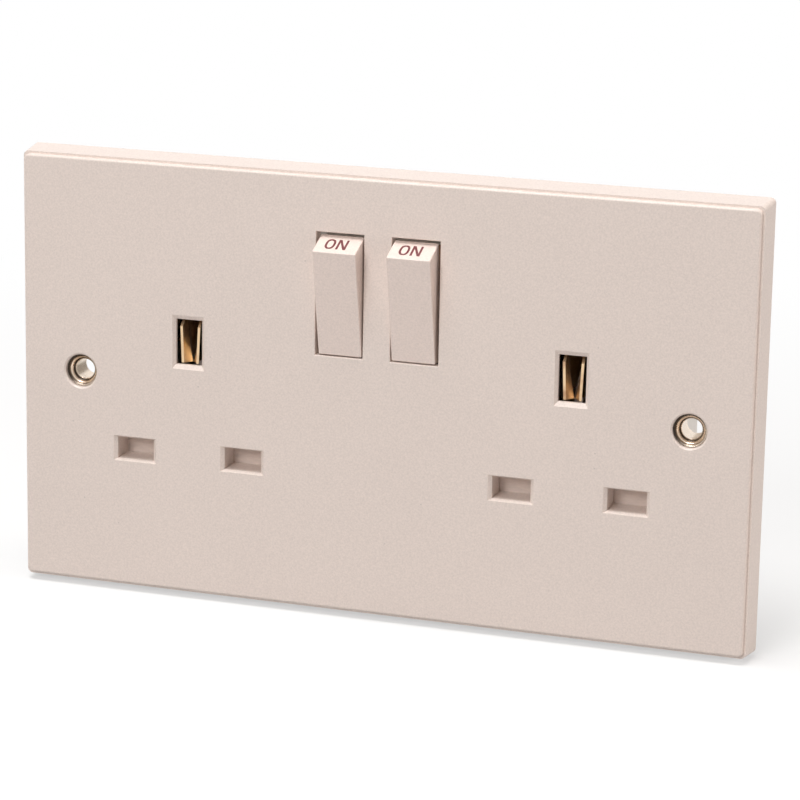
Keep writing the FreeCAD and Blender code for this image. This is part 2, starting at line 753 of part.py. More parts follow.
def slotted_screws(label, places, seat_y, tip_y, shank, head, head_height):
    # Screws put in from the rear. Their heads sit on seat_y and their tips reach tip_y.
    body = new_body(label)
    shanks = front_sketch(body, seat_y)
    heads = front_sketch(body, seat_y)
    slots = front_sketch(body, seat_y + head_height)
    for place in places:
        circle(shanks, place, shank)
        circle(heads, place, head)
        rectangle(slots, place, head + s.screw_slot, s.screw_slot)
    pad(body, heads, head_height, True)
    pad(body, shanks, seat_y - tip_y)
    pocket(body, slots, head_height / 2, True)
    return body


def rocker(name, side):
    body = new_body(f"rocker_{name}")
    width = s.opening_width - s.rocker_side_gap * 2
    half = s.rocker_front / 2
    flare = half + s.rocker_end_depth * tangent(s.rocker_swing)
    back = -s.rocker_reach + s.rocker_end_depth
    outline = side_sketch(body, -width / 2)
    polygon(outline, [(-s.rocker_reach, -half), (back, -flare), (back, flare), (-s.rocker_reach, half)])
    pad(body, outline, width)
    dress_edges(body, "Fillet", s.rocker_edge, lambda edge: not lies_at(edge, "Y", back))
    inside = front_sketch(body, back)
    hollow_width = width - s.rocker_wall * 2
    rectangle(inside, (size(0), size(0)), hollow_width, s.rocker_front - s.rocker_wall * 2)
    pocket(body, inside, s.rocker_end_depth - s.rocker_wall, True)
    stem = circle(front_sketch(body, s.stem_back), (size(0), size(0)), s.stem)
    pad(body, stem, s.stem_back + s.rocker_reach - s.rocker_wall)
    lug_height = s.trunnion_lug * 2
    for end in SIDES.values():
        lug_x = (width / 2 - s.rocker_wall / 2) * end
        lug_back = s.trunnion / 2 + s.cheek_wall / 4
        lug = rectangle(front_sketch(body, lug_back), (lug_x, size(0)), s.rocker_wall, lug_height)
        pad(body, lug, lug_back - back)
        pin = circle(side_sketch(body, width * end / 2), (size(0), size(0)), s.trunnion)
        pad(body, pin, s.trunnion_length, end < 0)
    bore = circle(front_sketch(body, s.stem_back), (size(0), size(0)), s.stem_bore)
    pocket(body, bore, s.stem_back + s.rocker_reach - s.stem_floor, True)
    stand(body, (rocker_x(side), pivot_y, s.rocker_height), s.rocker_swing)


def rocker_plunger(name, side):
    body = new_body(f"rocker_plunger_{name}")
    centre = (size(0), size(0))
    head = circle(front_sketch(body, s.plunger_front), centre, s.stem_bore - s.plunger_gap * 2)
    pad(body, head, s.plunger_back - s.plunger_front, True)
    nose = circle(front_sketch(body, s.plunger_back), centre, s.plunger_nose)
    pad(body, nose, s.plunger_reach - s.plunger_back, True)
    dress_edges(body, "Fillet", s.plunger_nose * 0.45, lambda edge: lies_at(edge, "Y", s.plunger_reach))
    stand(body, (rocker_x(side), pivot_y, s.rocker_height), s.rocker_swing)


def rocker_spring(name, side):
    floor = -s.rocker_reach + s.stem_floor
    room = s.plunger_front - floor
    outer = s.stem_bore - s.spring_play * 2
    start = vector(0, float(floor), 0)
    spring = coil(start, vector(0, 1, 0), room, outer, s.spring_wire, s.rocker_spring_turns)
    piece = new_piece(f"rocker_spring_{name}", spring)
    stand(piece, (rocker_x(side), pivot_y, s.rocker_height), s.rocker_swing)


def moving_contact(name, side):
    slope = tangent(s.trough_slope)
    bend = trough_radius + s.blade_thickness / 2
    apex = bend * (1 / float(cosine(s.trough_slope)) - 1) - s.blade_thickness / 2
    foot = (apex + s.blade_set) / slope
    arm = -s.blade_set
    route = [(arm, s.blade_up), (arm, foot), (apex, 0), (arm, -foot), (arm, -s.blade_down)]
    bends = (s.blade_thickness, bend, s.blade_thickness)
    piece = new_piece(f"moving_contact_{name}", bent_strip(route, s.blade_thickness, s.blade_width, bends))
    place = (rocker_x(side), fulcrum_y, s.rocker_height)
    stand(piece, place, -s.blade_tilt)
    tip = new_body(f"moving_tip_{name}")
    back = -s.blade_set + s.blade_thickness / 2
    disc = circle(front_sketch(tip, back), (size(0), s.contact_arm), s.tip_diameter)
    pad(tip, disc, s.tip_moving, True)
    stand(tip, place, -s.blade_tilt)


def live_busbar():
    body = new_body("live_busbar")
    right = inner_terminal_x + s.terminal / 2
    middle = ((right - s.live_bar_left) / 2, terminal_z)
    length = right + s.live_bar_left
    pad(body, rectangle(front_sketch(body, strip_y), middle, length, s.live_bar), s.strip, True)
    tips = new_body("fixed_tips")
    discs = front_sketch(tips, strip_y)
    tip_z = s.rocker_height + s.contact_arm * cosine(s.blade_tilt)
    for side in SIDES.values():
        circle(discs, (rocker_x(side), tip_z), s.tip_diameter)
    pad(tips, discs, s.tip_fixed)


def live_link(name, side):
    body = new_body(f"live_link_{name}")
    half = s.link_width / 2
    start_x = rocker_x(side)
    end_x = live_x(side)
    run = s.link_z
    low = pin_z - s.clip_heel / 2 - s.clip_leaf
    high = s.rocker_height + half
    outline = front_sketch(body, strip_y)
    polygon(outline, [
        (start_x - half * side, high), (start_x + half * side, high),
        (start_x + half * side, run + half), (end_x + half * side, run + half),
        (end_x + half * side, low), (end_x - half * side, low),
        (end_x - half * side, run - half), (start_x - half * side, run - half)])
    pad(body, outline, s.strip, True)
    ridge = side_sketch(body, start_x - s.blade_width / 2)
    crest = fulcrum_y + s.contact_gap
    foot, top = s.ridge_foot / 2, s.ridge_top / 2
    centre = s.rocker_height
    polygon(ridge, [
        (strip_y, centre - foot), (crest, centre - top),
        (crest, centre + top), (strip_y, centre + foot)])
    pad(body, ridge, s.blade_width)


def pin_contact(label, pin_x):
    # A fork for a line or neutral pin, with one leaf above the pin and one below it.
    body = new_body(label)
    outline = side_sketch(body, pin_x - s.clip_width / 2)
    waist_y = s.clip_front + s.clip_waist
    mouth, waist, heel = s.clip_mouth / 2, s.clip_gap / 2, s.clip_heel / 2
    inner_y = strip_y - s.clip_leaf
    inner = [(s.clip_front, mouth), (waist_y, waist), (inner_y, heel)]
    outer = [
        (s.clip_front, mouth + s.clip_leaf), (waist_y, waist + s.clip_leaf),
        (strip_y, heel + s.clip_leaf)]
    half = inner[::-1] + outer
    lower = [(along, pin_z - rise) for along, rise in half]
    upper = [(along, pin_z + rise) for along, rise in half[::-1]]
    polygon(outline, lower + upper)
    pad(body, outline, s.clip_width)
    dress_edges(body, "Fillet", s.clip_round,
                lambda edge: runs_along(edge, "x") and not lies_at(edge, "Y", s.clip_front))


def earth_pin_contact(name, side):
    # A fork with one leaf either side of the earth pin. Its waist is tighter at the bottom.
    body = new_body(f"earth_pin_contact_{name}")
    low = s.earth_height - s.earth_clip_height / 2
    high = s.earth_height + s.earth_clip_height / 2
    start = front_y + s.earth_clip_front
    waist_y = start + s.earth_clip_waist_back
    for end in SIDES.values():
        sections = []
        for level, waist in ((low, s.earth_clip_waist_low), (high, s.earth_clip_waist_high)):
            foot = s.earth_clip_foot / 2
            inner = [
                (s.earth_clip_gap / 2, start), (waist / 2, waist_y),
                (foot, waist_y + s.earth_clip_belly), (foot, earth_bar_y)]
            outer = [(across + s.earth_leaf, along) for across, along in inner]
            points = [(outlet_x(side) + across * end, along) for across, along in inner + outer[::-1]]
            sections.append(polygon(level_sketch(body, level), points))
        loft(body, "AdditiveLoft", sections[0], sections[1])
        if end < 0:
            base = front_sketch(body, earth_bar_y)
            width = s.earth_clip_foot + s.earth_leaf * 2
            rectangle(base, (outlet_x(side), s.earth_height), width, s.earth_clip_height)
            pad(body, base, s.earth_leaf)
    span = s.earth_clip_gap + s.earth_leaf * 2
    corner = side_sketch(body, outlet_x(side) - span / 2)
    slope = s.earth_leaf_slope
    polygon(corner, [(start, high), (start, high - slope), (start + slope, high)])
    pocket(body, corner, span, True)


def neutral_busbar():
    body = new_body("neutral_busbar")
    left = neutral_x(-1) - s.clip_width / 2
    right = neutral_x(1) + s.clip_width / 2
    bar = front_sketch(body, strip_y)
    rectangle(bar, ((left + right) / 2, s.neutral_bar_z), right - left, s.neutral_bar)
    pad(body, bar, s.strip, True)
    tabs = front_sketch(body, strip_y)
    tab_top = pin_z + s.clip_heel / 2 + s.clip_leaf
    for side in SIDES.values():
        middle = (tab_top + s.neutral_bar_z) / 2
        rectangle(tabs, (neutral_x(side), middle), s.clip_width, tab_top - s.neutral_bar_z)
    low = -housing_inside_top + s.seat_gap
    rectangle(tabs, (size(0), (s.neutral_bar_z + low) / 2), s.clip_width, s.neutral_bar_z - low)
    pad(body, tabs, s.strip, True)


def earth_strap():
    body = new_body("earth_strap")
    bar = front_sketch(body, earth_bar_y)
    outer_x = earth_leg_x + s.strip / 2
    rectangle(bar, (size(0), s.earth_height), outer_x * 2, s.earth_bar)
    pad(body, bar, s.strip, True)
    tabs = front_sketch(body, earth_bar_y)
    for terminal_x in earth_terminals_x:
        top = housing_inside_top - s.seat_gap
        middle = (top + s.earth_height) / 2
        rectangle(tabs, (terminal_x, middle), s.clip_width, top - s.earth_height)
    pad(body, tabs, s.strip, True)
    legs = front_sketch(body, earth_flange_y)
    flanges = front_sketch(body, earth_flange_y)
    eyelet_holes = front_sketch(body, earth_flange_y)
    screw_holes = front_sketch(body, earth_bar_y)
    for side in SIDES.values():
        rectangle(legs, (earth_leg_x * side, s.earth_leg_z), s.strip, s.earth_leg)
        near, far = fixing_x - s.earth_flange / 2, fixing_x + s.earth_flange / 2
        start = earth_leg_x - s.strip / 2
        low, high = s.earth_leg_z - s.earth_leg / 2, s.earth_leg_z + s.earth_leg / 2
        ring = -s.earth_flange / 2
        outline = [(start, low), (near, low), (near, ring), (far, ring), (far, high), (start, high)]
        polygon(flanges, [(across * side, up) for across, up in outline])
        circle(eyelet_holes, (fixing_x * side, size(0)), s.eyelet_tube + s.eyelet_fit * 2)
    for terminal_x in earth_terminals_x:
        circle(screw_holes, (terminal_x, earth_terminal_z), s.terminal_screw + s.screw_play * 4)
    pad(body, legs, s.channel_depth - earth_flange_y, True)
    pad(body, flanges, s.strip, True)
    pocket(body, eyelet_holes, s.strip)
    pocket(body, screw_holes, s.strip)
    outside = float(outer_x)
    inside = float(earth_leg_x - s.strip / 2)

    def outer_bend(edge):
        if not runs_along(edge, "z"):
            return False
        point = edge.BoundBox.Center
        at_back = abs(abs(point.x) - outside) < 0.01 and lies_at(edge, "Y", s.channel_depth)
        at_front = abs(abs(point.x) - inside) < 0.01 and lies_at(edge, "Y", earth_flange_y)
        return at_back or at_front
    dress_edges(body, "Fillet", s.earth_bend, outer_bend)


def terminal(label, terminal_x, level, block_y, hold):
    # A brass block with its wire hole along Z and its screw from the rear. hold is the thickness of
    # the strap between the block and the screw's head.
    body = new_body(label)
    place = (terminal_x, level)
    back = block_y + s.terminal_length
    pad(body, rectangle(front_sketch(body, block_y), place, s.terminal, s.terminal), s.terminal_length, True)
    dress_edges(body, "Fillet", s.terminal_round, lambda edge: runs_along(edge, "z"))
    wire = level_sketch(body, level + s.terminal / 2)
    circle(wire, (terminal_x, block_y + s.terminal_bore_depth), s.terminal_bore)
    pocket(body, wire, s.terminal)
    tapped = circle(front_sketch(body, back), place, s.terminal_screw + s.terminal_screw_fit * 2)
    pocket(body, tapped, s.terminal_length - s.terminal_bore_depth, True)
    seat = back + hold + s.screw_play
    tip = block_y + s.terminal_bore_depth + s.terminal_bore / 2 - s.terminal_travel
    slotted_screws(f"{label}_screw", [place], seat, tip,
                   s.terminal_screw, s.terminal_head, s.terminal_head_height)


def shutter(name, side):
    body = new_body(f"shutter_{name}")
    middle = (s.shutter_top - s.shutter_bottom) / 2 + pin_z
    bar = front_sketch(body, shutter_y)
    rectangle(bar, (outlet_x(side), middle), shutter_width, s.shutter_top + s.shutter_bottom)
    pad(body, bar, s.shutter_thickness, True)
    back = shutter_y + s.shutter_thickness
    far = shutter_y + s.ramp_rise
    top = s.ramp_toe + s.ramp_rise
    ramp = side_sketch(body, outlet_x(side) - s.shutter_stem / 2)
    polygon(ramp, [
        (shutter_y, pin_z), (back, pin_z), (back, s.ramp_toe + s.shutter_thickness - s.ramp_thickness),
        (far, top - s.ramp_thickness), (far, top), (shutter_y, s.ramp_toe)])
    pad(body, ramp, s.shutter_stem)
    low = pin_z - s.shutter_bottom
    spring_y = shutter_y + s.shutter_thickness / 2
    start = vector(float(outlet_x(side)), float(spring_y), float(low))
    room = low + housing_inside_top
    spring = coil(start, vector(0, 0, -1), room, s.shutter_spring, s.spring_wire, s.shutter_spring_turns)
    new_piece(f"shutter_spring_{name}", spring)


faceplate()
rear_housing()
screw_places = [(post_x * side, post_z * level)
                for side in SIDES.values() for level in SIDES.values()]
screw_seat = s.housing_back - s.screw_head_sink
slotted_screws("housing_screws", screw_places, screw_seat, s.post_split - s.screw_reach,
               s.screw_thread, s.screw_head, s.screw_head_height)
live_busbar()
neutral_busbar()
earth_strap()
for name, side in SIDES.items():
    screw_eyelet(name, side)
    rocker(name, side)
    rocker_plunger(name, side)
    rocker_spring(name, side)
    moving_contact(name, side)
    live_link(name, side)
    pin_contact(f"live_pin_contact_{name}", live_x(side))
    pin_contact(f"neutral_pin_contact_{name}", neutral_x(side))
    earth_pin_contact(name, side)
    shutter(name, side)
terminal("live_terminal", inner_terminal_x, terminal_z, s.floor_depth, size(0))
terminal("neutral_terminal", size(0), -terminal_z, s.floor_depth, size(0))
earth_block_y = earth_bar_y - s.terminal_length
terminal("earth_terminal_left", earth_terminals_x[0], earth_terminal_z, earth_block_y, s.strip)
terminal("earth_terminal_right", earth_terminals_x[1], earth_terminal_z, earth_block_y, s.strip)

document.recompute()
for item in document.Objects:
    if "Invalid" in item.State or "Error" in item.State:
        raise RuntimeError(f"{item.Label} did not build")
os.makedirs("parts", exist_ok=True)
for piece in pieces:
    if piece.Shape.isNull() or not piece.Shape.isValid():
        raise RuntimeError(f"{piece.Label} has no valid shape")
    piece.Shape.exportStep(f"parts/{piece.Label}.step")
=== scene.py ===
import json
import math

import bpy
import numpy as np
from mathutils import Matrix, Vector


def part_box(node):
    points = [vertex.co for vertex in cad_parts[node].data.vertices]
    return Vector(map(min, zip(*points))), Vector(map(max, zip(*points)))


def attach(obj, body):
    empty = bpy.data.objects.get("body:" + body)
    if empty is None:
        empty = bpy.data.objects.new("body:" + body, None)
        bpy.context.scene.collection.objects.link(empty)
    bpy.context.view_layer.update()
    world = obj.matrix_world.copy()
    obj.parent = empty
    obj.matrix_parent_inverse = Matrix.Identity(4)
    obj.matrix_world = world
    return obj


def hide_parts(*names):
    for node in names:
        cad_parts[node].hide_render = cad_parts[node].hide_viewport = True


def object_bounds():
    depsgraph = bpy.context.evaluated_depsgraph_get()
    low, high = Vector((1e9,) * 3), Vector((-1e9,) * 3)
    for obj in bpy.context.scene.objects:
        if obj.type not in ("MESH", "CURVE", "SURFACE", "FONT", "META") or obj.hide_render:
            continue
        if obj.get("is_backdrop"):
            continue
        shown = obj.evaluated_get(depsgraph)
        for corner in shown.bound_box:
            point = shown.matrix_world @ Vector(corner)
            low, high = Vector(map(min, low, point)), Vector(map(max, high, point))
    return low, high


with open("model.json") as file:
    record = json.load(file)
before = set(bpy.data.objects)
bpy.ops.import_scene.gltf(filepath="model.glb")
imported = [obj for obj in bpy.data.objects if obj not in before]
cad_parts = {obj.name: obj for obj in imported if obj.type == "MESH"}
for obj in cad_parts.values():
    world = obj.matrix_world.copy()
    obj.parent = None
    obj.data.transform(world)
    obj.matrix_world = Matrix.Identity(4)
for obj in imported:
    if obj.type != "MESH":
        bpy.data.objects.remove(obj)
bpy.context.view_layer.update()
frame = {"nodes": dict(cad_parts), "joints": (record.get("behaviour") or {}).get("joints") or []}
nodes = frame["nodes"]
print("loaded", len(nodes), "nodes")


# The camera stands to the right of the socket and a little above it.
cameraSet = {
    "place": (0.168805, -0.505541, 0.135456),
    "turn": 17.1172,  # degrees to the left of straight on
    "dip": 12.3889,  # degrees below level
    "roll": 1.2751,
    "lens": 130.187,
    "shift": (-0.0692, -0.1267),
    "clip": (0.01, 50),
}


def addCamera(values):
    # Looks along the turn and the dip, then rolls about its own line of sight.
    turn, dip = math.radians(values["turn"]), math.radians(values["dip"])
    forward = Vector((-math.sin(turn) * math.cos(dip), math.cos(turn) * math.cos(dip), -math.sin(dip)))
    right = forward.cross(Vector((0, 0, 1))).normalized()
    right.rotate(Matrix.Rotation(-math.radians(values["roll"]), 3, forward))
    up = right.cross(forward)
    data = bpy.data.cameras.new("camera")
    data.lens = values["lens"]
    data.shift_x, data.shift_y = values["shift"]
    data.clip_start, data.clip_end = values["clip"]
    camera = bpy.data.objects.new("camera", data)
    bpy.context.scene.collection.objects.link(camera)
    turned = Matrix((right, up, -forward)).transposed()
    camera.matrix_world = Matrix.Translation(values["place"]) @ turned.to_4x4()
    bpy.context.scene.camera = camera


addCamera(cameraSet)


def newGroup(name, inputs, outputs):
    # Inputs hold name: (socket type, start value), outputs hold name: socket type.
    group = bpy.data.node_groups.new(name, "ShaderNodeTree")
    for label, (kind, value) in inputs.items():
        socket = group.interface.new_socket(label, in_out="INPUT", socket_type=kind)
        if value is not None:
            socket.default_value = value
    for label, kind in outputs.items():
        group.interface.new_socket(label, in_out="OUTPUT", socket_type=kind)
    return group, group.nodes.new("NodeGroupInput"), group.nodes.new("NodeGroupOutput")


def addNode(tree, kind, settings=None, **inputs):
    # Sets a node's fields, then its inputs: a socket is linked and a number is written in.
    node = tree.nodes.new(kind)
    for field, value in (settings or {}).items():
        setattr(node, field, value)
    for label, value in inputs.items():
        name = label.replace("_", " ")
        socket = node.inputs[int(name[1:])] if name[0] == "i" and name[1:].isdigit() else node.inputs[name]
        if isinstance(value, bpy.types.NodeSocket):
            tree.links.new(value, socket)
        else:
            socket.default_value = value
    return node


def mathNode(tree, operation, first, second=0.0, clamp=False):
    settings = {"operation": operation, "use_clamp": clamp}
    return addNode(tree, "ShaderNodeMath", settings, i0=first, i1=second).outputs[0]


def mixColour(tree, factor, first, second, blend="MIX"):
    # The mix node has several sockets of one name, so they are taken by number.
    node = addNode(tree, "ShaderNodeMix", {"data_type": "RGBA", "blend_type": blend})
    for index, value in ((0, factor), (6, first), (7, second)):
        if isinstance(value, bpy.types.NodeSocket):
            tree.links.new(value, node.inputs[index])
        else:
            node.inputs[index].default_value = value
    return node.outputs[2]


def ramp(tree, value, low, high, fromValue=0.0, toValue=1.0):
    # An eased step: fromValue up to low, toValue from high on.
    settings = {"clamp": True, "interpolation_type": "SMOOTHSTEP"}
    node = addNode(tree, "ShaderNodeMapRange", settings, Value=value)
    for label, number in (("From Min", low), ("From Max", high), ("To Min", fromValue), ("To Max", toValue)):
        node.inputs[label].default_value = number
    return node.outputs[0]


def stretched(tree, vector, scale):
    return addNode(tree, "ShaderNodeMapping", Vector=vector, Scale=scale).outputs[0]


# Moulded plastic has a fine grain, slow mottling and a few dark specks.
grainSet = {
    "fineScale": 2600.0,
    "mottleScale": 45.0,
    "speckScale": 420.0,
    "speckFrom": (0.90, 0.93),  # only the cells whose own random number is higher hold a speck
    "speckEdge": (0.03, 0.10),
    "speckDark": 0.35,
    "roughSwing": 1.5,
}


def buildMouldedGrain(values):
    group, given, result = newGroup(
        "mouldedGrain",
        {
            "Vector": ("NodeSocketVector", None),
            "Colour": ("NodeSocketColor", (0.8, 0.8, 0.8, 1)),
            "Roughness": ("NodeSocketFloat", 0.4),
            "Grain": ("NodeSocketFloat", 0.05),
            "Mottle": ("NodeSocketFloat", 0.03),
            "Specks": ("NodeSocketFloat", 0.5),
        },
        {"Colour": "NodeSocketColor", "Roughness": "NodeSocketFloat", "Height": "NodeSocketFloat"},
    )
    place = given.outputs["Vector"]
    fine = addNode(group, "ShaderNodeTexNoise", Vector=place, Scale=values["fineScale"], Detail=3.0,
                   Roughness=0.7).outputs[0]
    slow = addNode(group, "ShaderNodeTexNoise", Vector=place, Scale=values["mottleScale"],
                   Detail=2.0).outputs[0]
    cells = addNode(group, "ShaderNodeTexVoronoi", Vector=place, Scale=values["speckScale"])
    number = addNode(group, "ShaderNodeSeparateColor", Color=cells.outputs["Color"]).outputs[0]
    chosen = ramp(group, number, *values["speckFrom"])
    dot = ramp(group, cells.outputs["Distance"], *values["speckEdge"], 1.0, 0.0)
    speck = mathNode(group, "MULTIPLY", mathNode(group, "MULTIPLY", chosen, dot), given.outputs["Specks"])
    fineShift = mathNode(group, "MULTIPLY", mathNode(group, "SUBTRACT", fine, 0.5), given.outputs["Grain"])
    slowShift = mathNode(group, "MULTIPLY", mathNode(group, "SUBTRACT", slow, 0.5), given.outputs["Mottle"])
    level = mathNode(group, "ADD", mathNode(group, "ADD", fineShift, slowShift), 1.0)
    level = mathNode(group, "SUBTRACT", level, mathNode(group, "MULTIPLY", speck, values["speckDark"]))
    shade = addNode(group, "ShaderNodeCombineColor", Red=level, Green=level, Blue=level).outputs[0]
    colour = mixColour(group, 1.0, given.outputs["Colour"], shade, "MULTIPLY")
    roughShift = mathNode(group, "MULTIPLY", slowShift, values["roughSwing"])
    rough = mathNode(group, "ADD", given.outputs["Roughness"], roughShift)
    group.links.new(colour, result.inputs["Colour"])
    group.links.new(rough, result.inputs["Roughness"])
    group.links.new(fine, result.inputs["Height"])
    return group


# Metal has fine lines across Z, as rolling and turning leave them, and slow stains.
metalSet = {
    "lineScale": (60.0, 60.0, 2400.0),
    "stainScale": 260.0,
    "stainFrom": (0.45, 0.75),
    "stainRough": 0.2,
}


def buildRolledMetal(values):
    group, given, result = newGroup(
        "rolledMetal",
        {
            "Vector": ("NodeSocketVector", None),
            "Colour": ("NodeSocketColor", (0.8, 0.6, 0.3, 1)),
            "Stain": ("NodeSocketColor", (0.5, 0.3, 0.15, 1)),
            "Roughness": ("NodeSocketFloat", 0.3),
            "Lines": ("NodeSocketFloat", 0.1),
            "Stains": ("NodeSocketFloat", 0.3),
        },
        {"Colour": "NodeSocketColor", "Roughness": "NodeSocketFloat", "Height": "NodeSocketFloat"},
    )
    place = given.outputs["Vector"]
    along = stretched(group, place, values["lineScale"])
    lines = addNode(group, "ShaderNodeTexNoise", Vector=along, Scale=1.0, Detail=2.0).outputs[0]
    slow = addNode(group, "ShaderNodeTexNoise", Vector=place, Scale=values["stainScale"],
                   Detail=4.0).outputs[0]
    stain = mathNode(group, "MULTIPLY", ramp(group, slow, *values["stainFrom"]), given.outputs["Stains"])
    colour = mixColour(group, stain, given.outputs["Colour"], given.outputs["Stain"])
    lineShift = mathNode(group, "MULTIPLY", mathNode(group, "SUBTRACT", lines, 0.5), given.outputs["Lines"])
    rough = mathNode(group, "ADD", given.outputs["Roughness"], lineShift)
    rough = mathNode(group, "ADD", rough, mathNode(group, "MULTIPLY", stain, values["stainRough"]))
    group.links.new(colour, result.inputs["Colour"])
    group.links.new(rough, result.inputs["Roughness"])
    group.links.new(lines, result.inputs["Height"])
    return group


mouldedGrain = buildMouldedGrain(grainSet)
rolledMetal = buildRolledMetal(metalSet)
plasticDepth = 0.00005  # depth of the bump, in metres
metalDepth = 0.00008


def newMaterial(name):
    material = bpy.data.materials.new(name)
    material.use_nodes = True
    tree = material.node_tree
    shader = next(node for node in tree.nodes if node.type == "BSDF_PRINCIPLED")
    place = addNode(tree, "ShaderNodeTexCoord").outputs["Object"]
    return material, tree, shader, place


def plasticMaterial(name, values):
    material, tree, shader, place = newMaterial(name)
    if "stretch" in values:
        place = stretched(tree, place, values["stretch"])
    grain = addNode(tree, "ShaderNodeGroup", {"node_tree": mouldedGrain}, Vector=place)
    grain.inputs["Colour"].default_value = (*values["colour"], 1)
    for label in ("Roughness", "Grain", "Mottle", "Specks"):
        grain.inputs[label].default_value = values[label.lower()]
    bump = addNode(tree, "ShaderNodeBump", Height=grain.outputs["Height"], Strength=values["bump"],
                   Distance=plasticDepth)
    tree.links.new(grain.outputs["Colour"], shader.inputs["Base Color"])
    tree.links.new(grain.outputs["Roughness"], shader.inputs["Roughness"])
    tree.links.new(bump.outputs[0], shader.inputs["Normal"])
    shader.inputs["IOR"].default_value = 1.5
    return material


def metalMaterial(name, values):
    material, tree, shader, place = newMaterial(name)
    metal = addNode(tree, "ShaderNodeGroup", {"node_tree": rolledMetal}, Vector=place)
    metal.inputs["Colour"].default_value = (*values["colour"], 1)
    metal.inputs["Stain"].default_value = (*values["stain"], 1)
    for label in ("Roughness", "Lines", "Stains"):
        metal.inputs[label].default_value = values[label.lower()]
    height, colour = metal.outputs["Height"], metal.outputs["Colour"]
    # The rings add a turned ripple to the bump, and bands of painted shade to the colour
    if "rings" in values:
        height, colour = ringsAndPaintedShade(tree, place, colour, values["rings"])
    bump = addNode(tree, "ShaderNodeBump", Height=height, Strength=values["bump"], Distance=metalDepth)
    tree.links.new(colour, shader.inputs["Base Color"])
    tree.links.new(metal.outputs["Roughness"], shader.inputs["Roughness"])
    tree.links.new(bump.outputs[0], shader.inputs["Normal"])
    shader.inputs["Metallic"].default_value = 1.0
    return material


def ringsAndPaintedShade(tree, place, colour, values):
    # Fine rings round an axis along Y at x = plus or minus centre: a sine of the distance from it.
    # Dark bands of painted shade stand at some distances from it, deepest above and to the left of the axis.
    # They stand in for the shading and dark reflections of the countersink.
    parts = addNode(tree, "ShaderNodeSeparateXYZ", Vector=place)
    axis = mathNode(tree, "MULTIPLY", mathNode(tree, "SIGN", parts.outputs[0]), values["centre"])
    across = mathNode(tree, "SUBTRACT", parts.outputs[0], axis)
    up = parts.outputs[2]
    squares = [mathNode(tree, "MULTIPLY", part, part) for part in (across, up)]
    radius = mathNode(tree, "SQRT", mathNode(tree, "ADD", *squares))
    wave = mathNode(tree, "SINE", mathNode(tree, "MULTIPLY", radius, 2 * math.pi / values["pitch"]))
    lean = mathNode(tree, "DIVIDE", mathNode(tree, "SUBTRACT", up, across), radius)
    for middle, half, least in values["shadeBands"]:
        depth = ramp(tree, lean, *values["lean"], least, 1.0)
        away = mathNode(tree, "ABSOLUTE", mathNode(tree, "SUBTRACT", radius, middle))
        shadeBand = mathNode(tree, "MULTIPLY", ramp(tree, away, half * values["core"], half, 1.0, 0.0), depth)
        colour = mixColour(tree, shadeBand, colour, (*values["shadeColour"], 1))
    return mathNode(tree, "MULTIPLY", wave, values["ripple"]), colour


plastics = {
    "facePlastic": {"colour": (0.79, 0.68, 0.62), "roughness": 0.36, "grain": 0.40, "mottle": 0.04,
                    "specks": 0.6, "bump": 0.18},
    "rockerPlastic": {"colour": (0.85, 0.715, 0.65), "roughness": 0.32, "grain": 0.38, "mottle": 0.03,
                      "specks": 0.5, "bump": 0.08},
    "housingPlastic": {"colour": (0.84, 0.82, 0.78), "roughness": 0.55, "grain": 0.12, "mottle": 0.06,
                       "specks": 0.6, "bump": 0.3},
    "shutterPlastic": {"colour": (0.84, 0.71, 0.64), "roughness": 0.5, "grain": 0.35, "mottle": 0.05,
                       "specks": 0.3, "bump": 0.25, "stretch": (0.15, 1.0, 0.6)},
    "plungerPlastic": {"colour": (0.72, 0.70, 0.64), "roughness": 0.45, "grain": 0.06, "mottle": 0.04,
                       "specks": 0.0, "bump": 0.1},
}
metals = {
    "stripBrass": {"colour": (0.84, 0.66, 0.44), "stain": (0.50, 0.34, 0.22), "roughness": 0.28,
                   "lines": 0.16, "stains": 0.45, "bump": 0.25},
    "leafBrass": {"colour": (0.76, 0.56, 0.35), "stain": (0.34, 0.19, 0.11), "roughness": 0.34,
                  "lines": 0.20, "stains": 0.85, "bump": 0.35},
    "terminalBrass": {"colour": (0.85, 0.64, 0.31), "stain": (0.50, 0.30, 0.12), "roughness": 0.32,
                      "lines": 0.10, "stains": 0.3, "bump": 0.3},
    "bladeCopper": {"colour": (0.80, 0.46, 0.28), "stain": (0.42, 0.18, 0.08), "roughness": 0.3,
                    "lines": 0.12, "stains": 0.4, "bump": 0.25},
    "zincSteel": {"colour": (0.62, 0.63, 0.62), "stain": (0.42, 0.40, 0.33), "roughness": 0.34,
                  "lines": 0.10, "stains": 0.35, "bump": 0.2},
    "springSteel": {"colour": (0.55, 0.55, 0.56), "stain": (0.25, 0.24, 0.24), "roughness": 0.3,
                    "lines": 0.12, "stains": 0.3, "bump": 0.15},
    "silverTips": {"colour": (0.88, 0.87, 0.84), "stain": (0.45, 0.42, 0.36), "roughness": 0.22,
                   "lines": 0.08, "stains": 0.35, "bump": 0.15},
    "eyeletNickel": {"colour": (0.90, 0.77, 0.64), "stain": (0.52, 0.42, 0.33), "roughness": 0.26,
                     "lines": 0.08, "stains": 0.3, "bump": 0.5,
                     # rings: a fine turned ripple, and painted shade in dark bands round the bore, darker
                     # above and to the left
                     "rings": {"centre": 0.0603, "pitch": 0.0003, "ripple": 0.5, "shadeColour": (0.06, 0.045, 0.035),
                               "lean": (-1.3, 0.6), "core": 0.4,
                               "shadeBands": ((0.00218, 0.00022, 0.9), (0.0030, 0.00045, 0.5))}},
}
finishes = {name: plasticMaterial(name, values) for name, values in plastics.items()}
finishes.update({name: metalMaterial(name, values) for name, values in metals.items()})

